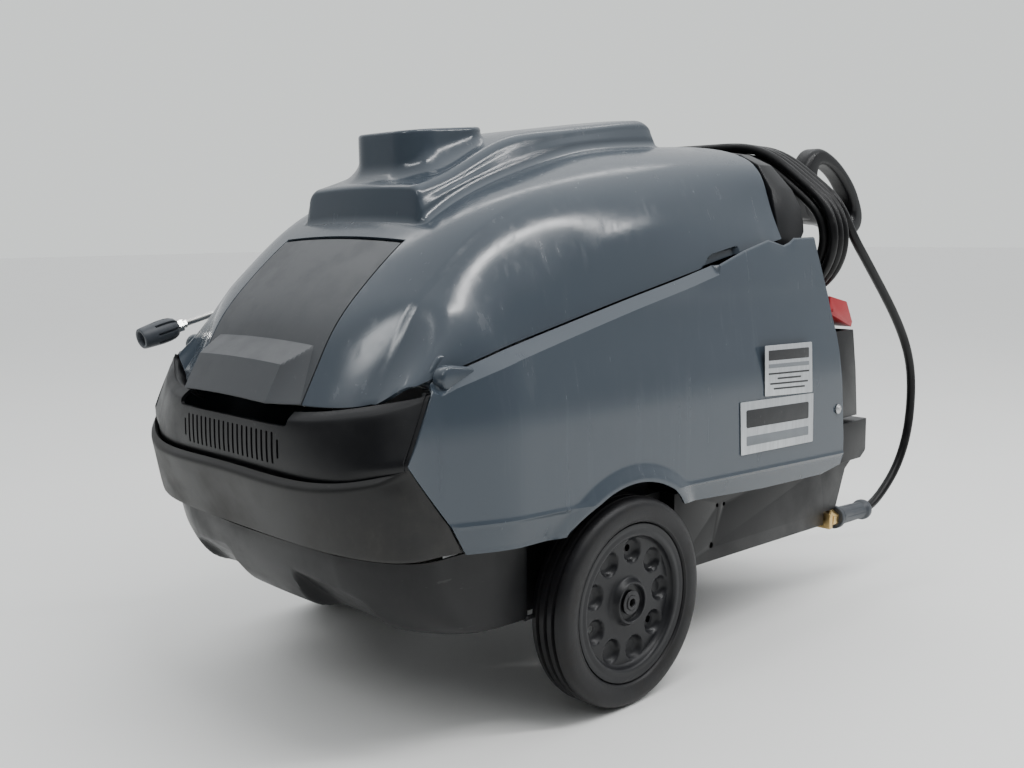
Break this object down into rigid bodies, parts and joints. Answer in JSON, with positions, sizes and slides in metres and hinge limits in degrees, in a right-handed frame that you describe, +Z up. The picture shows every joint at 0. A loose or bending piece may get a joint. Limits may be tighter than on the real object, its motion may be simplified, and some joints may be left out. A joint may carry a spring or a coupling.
{
  "type": "pressure washer",
  "caption": "Hot-water high-pressure washer: wheeled tub and side panels under a hinged hood with a chimney, hose winding on rear hooks, and a lance with trigger gun at one side.",
  "frame": {"origin": "centre of the footprint on the floor, under the middle of the whole machine's bounding box", "axes": "+Z up, +Y towards the operator's console and the hose hooks, +X towards the side with the high-pressure outlet"},
  "size_m": [0.69, 1.3135, 0.831],
  "materials": {
    "gloss_body": "glossy blue-grey moulding with fine scuffs",
    "satin_cover": "satin grey moulding",
    "black_moulding": "satin black moulding with a fine grain",
    "dusty_moulding": "worn black moulding with dust",
    "wheel_disc": "charcoal satin moulding",
    "tread": "grooved rubber with dust in the grooves",
    "zinc_steel": "zinc-plated steel",
    "bright_steel": "bright steel",
    "boiler_shell": "dull sheet",
    "motor_casting": "painted casting",
    "brass_fitting": "machined brass",
    "red_plastic": "saturated red plastic",
    "grey_plastic": "blue-grey plastic",
    "hose_rubber": "smooth black rubber cover",
    "tank_plastic": "natural blow-moulded plastic",
    "plate_metal": "printed aluminium plate"
  },
  "bodies": {
    "chassis": {"side_panel_right": "gloss_body", "side_panel_left": "gloss_body", "bumper_upper": "black_moulding", "chassis_tub": "black_moulding", "handle_bow": "black_moulding", "console": "black_moulding", "hose_hook_right": "black_moulding", "hose_hook_left": "black_moulding", "rear_buffer_right": "black_moulding", "rear_buffer_left": "black_moulding", "lance_holder_front": "black_moulding", "lance_holder_rear": "black_moulding", "gun_body": "black_moulding", "cable_gland": "black_moulding", "bumper_lower": "dusty_moulding", "axle": "zinc_steel", "axle_washer_right": "zinc_steel", "axle_washer_left": "zinc_steel", "castor_plate": "zinc_steel", "axle_clamp_right": "zinc_steel", "axle_clamp_left": "zinc_steel", "panel_screw_right": "zinc_steel", "panel_screw_left": "zinc_steel", "burner_motor": "zinc_steel", "lance_tube": "bright_steel", "pressure_gauge": "bright_steel", "boiler": "boiler_shell", "burner_blower": "boiler_shell", "pump_motor": "motor_casting", "pump_head": "brass_fitting", "outlet_block": "brass_fitting", "water_inlet": "brass_fitting", "outlet_coupling": "grey_plastic", "hose_rise": "hose_rubber", "hose_tail": "hose_rubber", "hose_winding": "hose_rubber", "fuel_tank": "tank_plastic", "water_tank": "tank_plastic", "detergent_tank": "tank_plastic", "plate_small": "plate_metal", "plate_large": "plate_metal", "electric_box": "plate_metal"},
    "wheel_right": {"tyre_right": "tread", "rim_right": "wheel_disc"},
    "wheel_left": {"tyre_left": "tread", "rim_left": "wheel_disc"},
    "castor_swivel": {"castor_fork": "zinc_steel"},
    "castor_roller": {"castor_wheel": "tread"},
    "castor_brake": {"castor_brake_pedal": "red_plastic"},
    "hood": {"hood": "gloss_body"},
    "service_cover": {"service_cover": "satin_cover"},
    "release_lever": {"hood_release_lever": "red_plastic"},
    "main_switch": {"main_switch_knob": "red_plastic"},
    "temperature_dial": {"temperature_knob": "black_moulding"},
    "dosing_dial": {"dosing_knob": "black_moulding"},
    "fuel_filler_cap": {"fuel_cap": "red_plastic"},
    "water_filler_cap": {"water_cap": "black_moulding"},
    "trigger": {"gun_trigger": "red_plastic"},
    "safety_catch": {"gun_safety_catch": "grey_plastic"},
    "nozzle": {"lance_nozzle": "grey_plastic"}
  },
  "joints": [
    {"name": "wheel_right_spin", "type": "hinge", "parent": "chassis", "child": "wheel_right", "pos_m": [0.314, -0.2175, 0.146], "axis": [1, 0, 0], "continuous": true},
    {"name": "wheel_left_spin", "type": "hinge", "parent": "chassis", "child": "wheel_left", "pos_m": [-0.314, -0.2175, 0.146], "axis": [1, 0, 0], "continuous": true},
    {"name": "castor_swivel_turn", "type": "hinge", "parent": "chassis", "child": "castor_swivel", "pos_m": [0, 0.2825, 0.12], "axis": [0, 0, 1], "continuous": true},
    {"name": "castor_roll", "type": "hinge", "parent": "castor_swivel", "child": "castor_roller", "pos_m": [0, 0.3125, 0.05], "axis": [1, 0, 0], "continuous": true},
    {"name": "castor_brake_press", "type": "hinge", "parent": "castor_swivel", "child": "castor_brake", "pos_m": [0, 0.3185, 0.112], "axis": [-1, 0, 0], "range_deg": [0, 12], "stiffness_Nm_per_rad": 0.8},
    {"name": "hood_hinge", "type": "hinge", "parent": "chassis", "child": "hood", "pos_m": [0, -0.5075, 0.481], "axis": [1, 0, 0], "range_deg": [0, 70]},
    {"name": "service_cover_hinge", "type": "hinge", "parent": "hood", "child": "service_cover", "pos_m": [0, -0.441, 0.641], "axis": [-1, 0, 0], "range_deg": [0, 75]},
    {"name": "release_lever_lift", "type": "hinge", "parent": "chassis", "child": "release_lever", "pos_m": [0.284, 0.3495, 0.512], "axis": [1, 0, 0], "range_deg": [0, 14], "stiffness_Nm_per_rad": 0.6},
    {"name": "main_switch_turn", "type": "hinge", "parent": "chassis", "child": "main_switch", "pos_m": [-0.15, 0.44346, 0.35705], "axis": [0, 0.9937, 0.1117], "range_deg": [0, 90]},
    {"name": "temperature_turn", "type": "hinge", "parent": "chassis", "child": "temperature_dial", "pos_m": [-0.04, 0.44346, 0.35705], "axis": [0, 0.9937, 0.1117], "range_deg": [0, 270]},
    {"name": "dosing_turn", "type": "hinge", "parent": "chassis", "child": "dosing_dial", "pos_m": [0.06, 0.44346, 0.35705], "axis": [0, 0.9937, 0.1117], "range_deg": [0, 270]},
    {"name": "fuel_cap_turn", "type": "hinge", "parent": "chassis", "child": "fuel_filler_cap", "pos_m": [0.15, -0.5175, 0.337], "axis": [0, 0, 1], "range_deg": [0, 540]},
    {"name": "water_cap_turn", "type": "hinge", "parent": "chassis", "child": "water_filler_cap", "pos_m": [-0.15, -0.5175, 0.337], "axis": [0, 0, 1], "range_deg": [0, 540]},
    {"name": "gun_trigger_pull", "type": "hinge", "parent": "chassis", "child": "trigger", "pos_m": [-0.318, 0.4035, 0.722], "axis": [1, 0, 0], "range_deg": [0, 9], "stiffness_Nm_per_rad": 0.5},
    {"name": "gun_safety_flip", "type": "hinge", "parent": "chassis", "child": "safety_catch", "pos_m": [-0.318, 0.4755, 0.657], "axis": [-1, 0, 0], "range_deg": [0, 50]},
    {"name": "nozzle_turn", "type": "hinge", "parent": "chassis", "child": "nozzle", "pos_m": [-0.318, -0.56043, 0.50142], "axis": [0, 0.9689, 0.2474], "range_deg": [-90, 90]}
  ]
}
